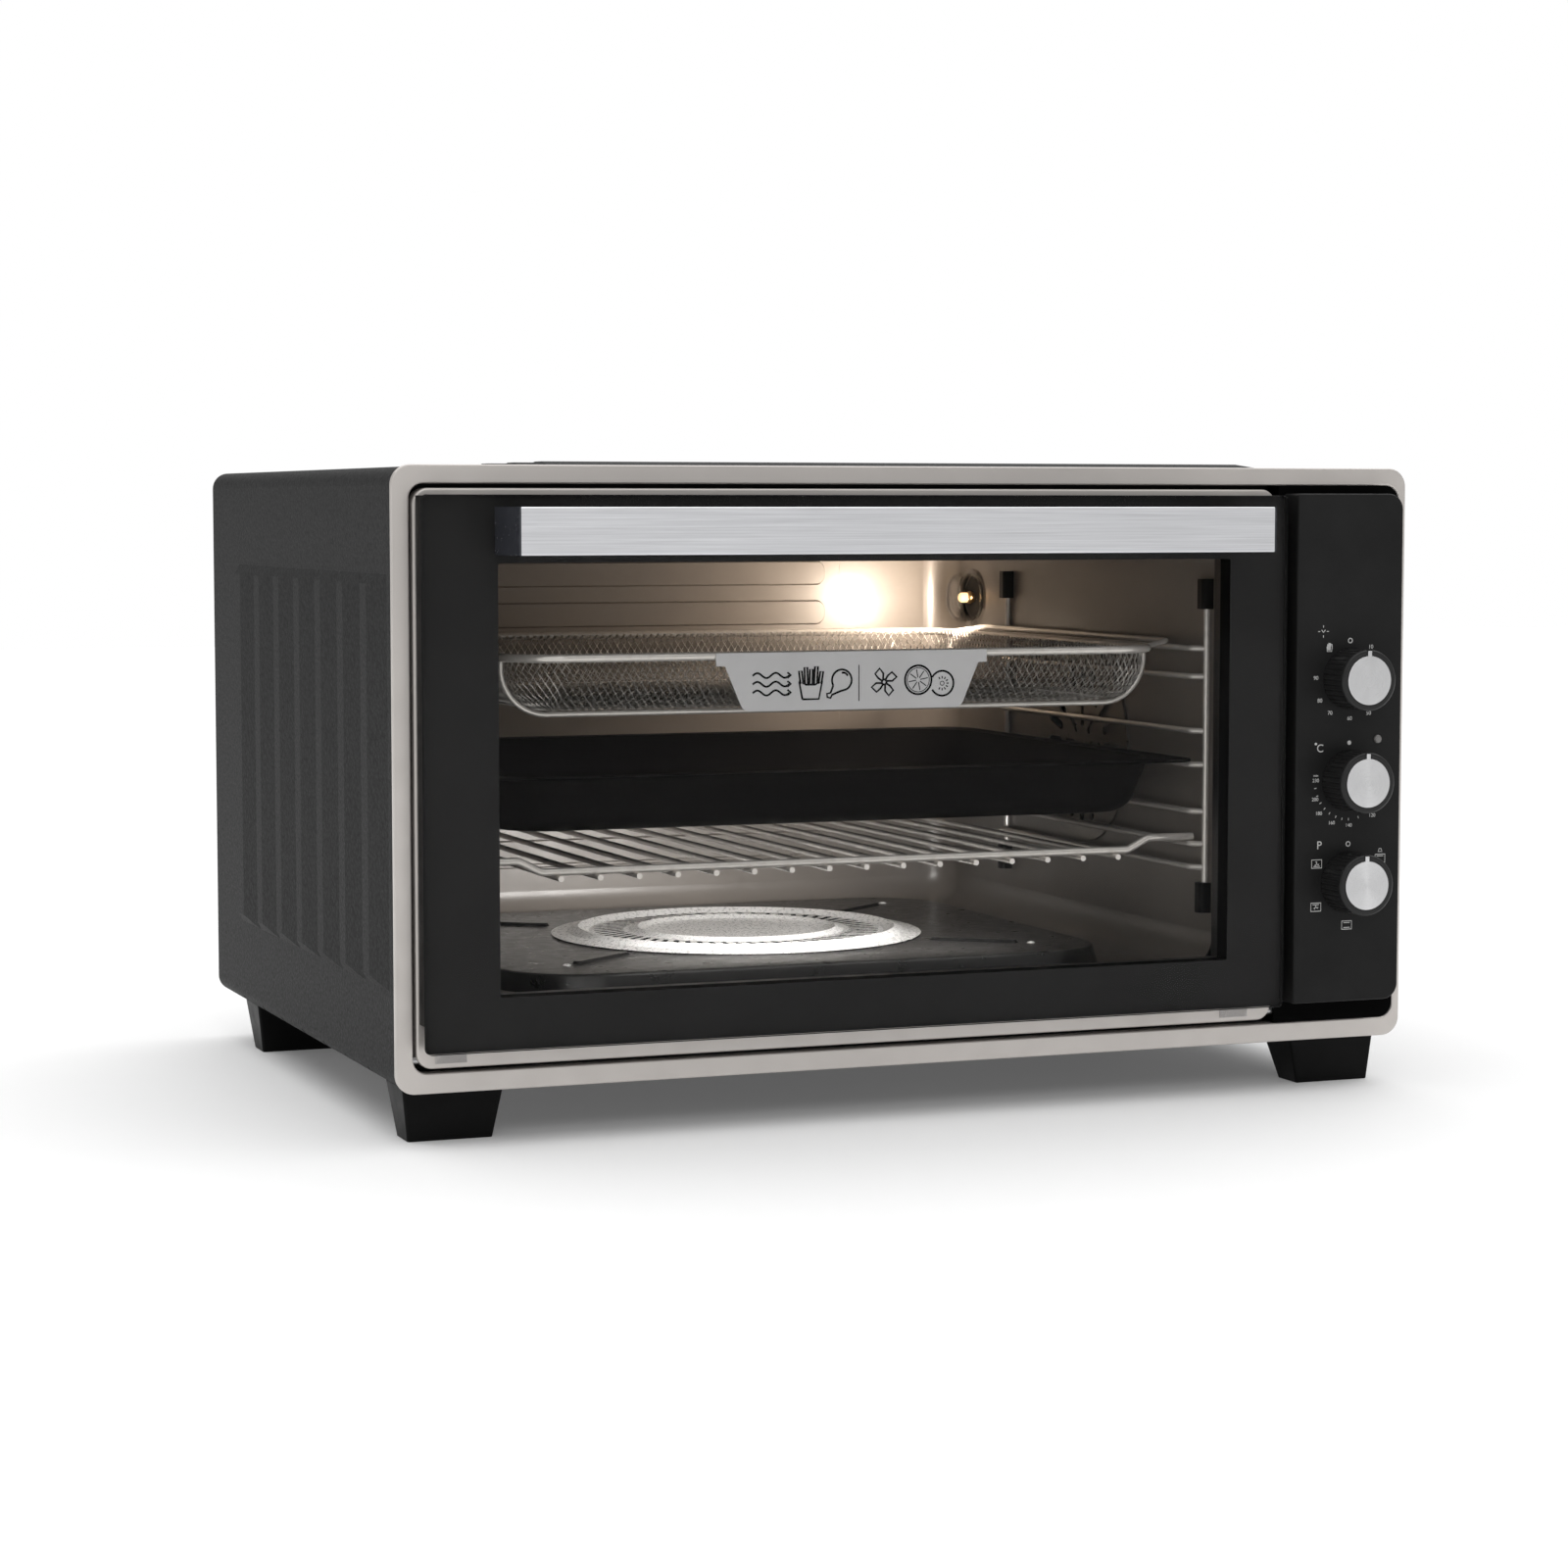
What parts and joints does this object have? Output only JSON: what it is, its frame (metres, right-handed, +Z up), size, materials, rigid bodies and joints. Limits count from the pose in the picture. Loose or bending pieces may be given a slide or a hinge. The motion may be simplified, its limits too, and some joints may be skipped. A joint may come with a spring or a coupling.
{
  "type": "countertop oven",
  "caption": "Countertop convection oven with a drop-down glass door, side control knobs, sliding air-fry basket, baking tray and wire rack.",
  "frame": {"origin": "middle of the bounding box's base, on the table under the feet", "axes": "+Z up, the door and knobs face -Y, +X to the right of someone facing the door"},
  "size_m": [0.5644, 0.463, 0.3337],
  "materials": {
    "frame_satin": "satin champagne-grey lacquer",
    "shell_black": "fine textured black powder coat",
    "sheet_black": "matte black coated sheet",
    "zinc_sheet": "black coated sheet",
    "gland_rubber": "matte",
    "foot_plastic": "moulded, satin",
    "cavity_enamel": "satin grey-brown enamel",
    "floor_enamel": "satin dark grey enamel",
    "seal_silicone": "silicone",
    "disc_steel": "bright pressed steel",
    "heater_sheath": "dark oxidised sheath",
    "bracket_steel": "zinc plated",
    "wire_chrome": "bright nickel wire",
    "mesh_steel": "stainless wire mesh",
    "badge_silver": "satin pale blue-grey",
    "tray_enamel": "satin black enamel",
    "holder_black": "heat-resistant black",
    "lens_glass": "clear pressed glass",
    "bulb_glass": "clear bulb",
    "fan_steel": "stainless",
    "motor_steel": "zinc plated",
    "panel_black": "satin moulded plastic",
    "indicator_grey": "tinted lens",
    "unit_plastic": "moulded",
    "knob_plastic": "fluted, satin",
    "knob_metal": "spun face",
    "spindle_steel": "turned",
    "door_glass": "clear toughened pane",
    "clip_plastic": "translucent",
    "handle_steel": "long brushed grain",
    "handle_end_black": "gloss black"
  },
  "bodies": {
    "oven": {"front_frame": "frame_satin", "outer_shell": "shell_black", "base_pan": "sheet_black", "chassis_front": "sheet_black", "rear_cover": "zinc_sheet", "cord_gland": "gland_rubber", "foot_front_left": "foot_plastic", "foot_front_right": "foot_plastic", "foot_rear_left": "foot_plastic", "foot_rear_right": "foot_plastic", "cavity_tub": "cavity_enamel", "door_gasket": "seal_silicone", "base_plate": "floor_enamel", "diffuser_disc": "disc_steel", "upper_heater": "heater_sheath", "lower_heater": "heater_sheath", "heater_brackets": "bracket_steel", "ladder_rack_left": "wire_chrome", "ladder_rack_right": "wire_chrome", "rack_holders": "holder_black", "lamp_lens": "lens_glass", "lamp_socket": "holder_black", "lamp_bulb": "bulb_glass", "fan_cover": "fan_steel", "fan_housing": "sheet_black", "fan_motor": "motor_steel", "control_backing": "panel_black", "control_panel": "panel_black", "indicator_lamp": "indicator_grey", "selector_unit": "unit_plastic", "thermostat_unit": "unit_plastic", "timer_unit": "unit_plastic", "hinge_left": "bracket_steel", "hinge_right": "bracket_steel"},
    "door": {"outer_glass": "door_glass", "door_spacers": "holder_black", "door_liner": "frame_satin", "inner_glass": "door_glass", "glass_clips": "clip_plastic", "handle_bar": "handle_steel", "handle_end_left": "handle_end_black", "handle_end_right": "handle_end_black", "hinge_arms": "bracket_steel"},
    "basket": {"basket_frame": "wire_chrome", "basket_mesh": "mesh_steel", "basket_badge": "badge_silver"},
    "tray": {"baking_tray": "tray_enamel"},
    "rack": {"wire_rack": "wire_chrome"},
    "fan": {"fan_blade": "fan_steel", "fan_shaft": "fan_steel"},
    "timer": {"timer_knob": "knob_plastic", "timer_cap": "knob_metal", "timer_spindle": "spindle_steel"},
    "thermostat": {"thermostat_knob": "knob_plastic", "thermostat_cap": "knob_metal", "thermostat_spindle": "spindle_steel"},
    "selector": {"selector_knob": "knob_plastic", "selector_cap": "knob_metal", "selector_spindle": "spindle_steel"}
  },
  "joints": [
    {"name": "door_hinge", "type": "hinge", "parent": "oven", "child": "door", "pos_m": [-0.034, -0.1725, 0.0425], "axis": [1, 0, 0], "range_deg": [0, 85]},
    {"name": "basket_slide", "type": "slide", "parent": "oven", "child": "basket", "axis": [0, -1, 0], "range_m": [0, 0.231]},
    {"name": "tray_slide", "type": "slide", "parent": "oven", "child": "tray", "axis": [0, -1, 0], "range_m": [0, 0.157]},
    {"name": "rack_slide", "type": "slide", "parent": "oven", "child": "rack", "axis": [0, -1, 0], "range_m": [0, 0.117]},
    {"name": "timer_turn", "type": "hinge", "parent": "oven", "child": "timer", "pos_m": [0.2385, -0.1965, 0.2202], "axis": [0, 1, 0], "range_deg": [-50, 285]},
    {"name": "thermostat_turn", "type": "hinge", "parent": "oven", "child": "thermostat", "pos_m": [0.2385, -0.1965, 0.1661], "axis": [0, 1, 0], "range_deg": [0, 285]},
    {"name": "selector_turn", "type": "hinge", "parent": "oven", "child": "selector", "pos_m": [0.2385, -0.1965, 0.112], "axis": [0, 1, 0], "range_deg": [0, 300]},
    {"name": "fan_spin", "type": "hinge", "parent": "oven", "child": "fan", "pos_m": [0.19, -0.0065, 0.176], "axis": [1, 0, 0], "continuous": true}
  ],
  "couplings": [
    {"joint": "basket_slide", "follows": "door_hinge", "m_per_rad": 0.155},
    {"joint": "tray_slide", "follows": "door_hinge", "m_per_rad": 0.105},
    {"joint": "rack_slide", "follows": "door_hinge", "m_per_rad": 0.078}
  ]
}
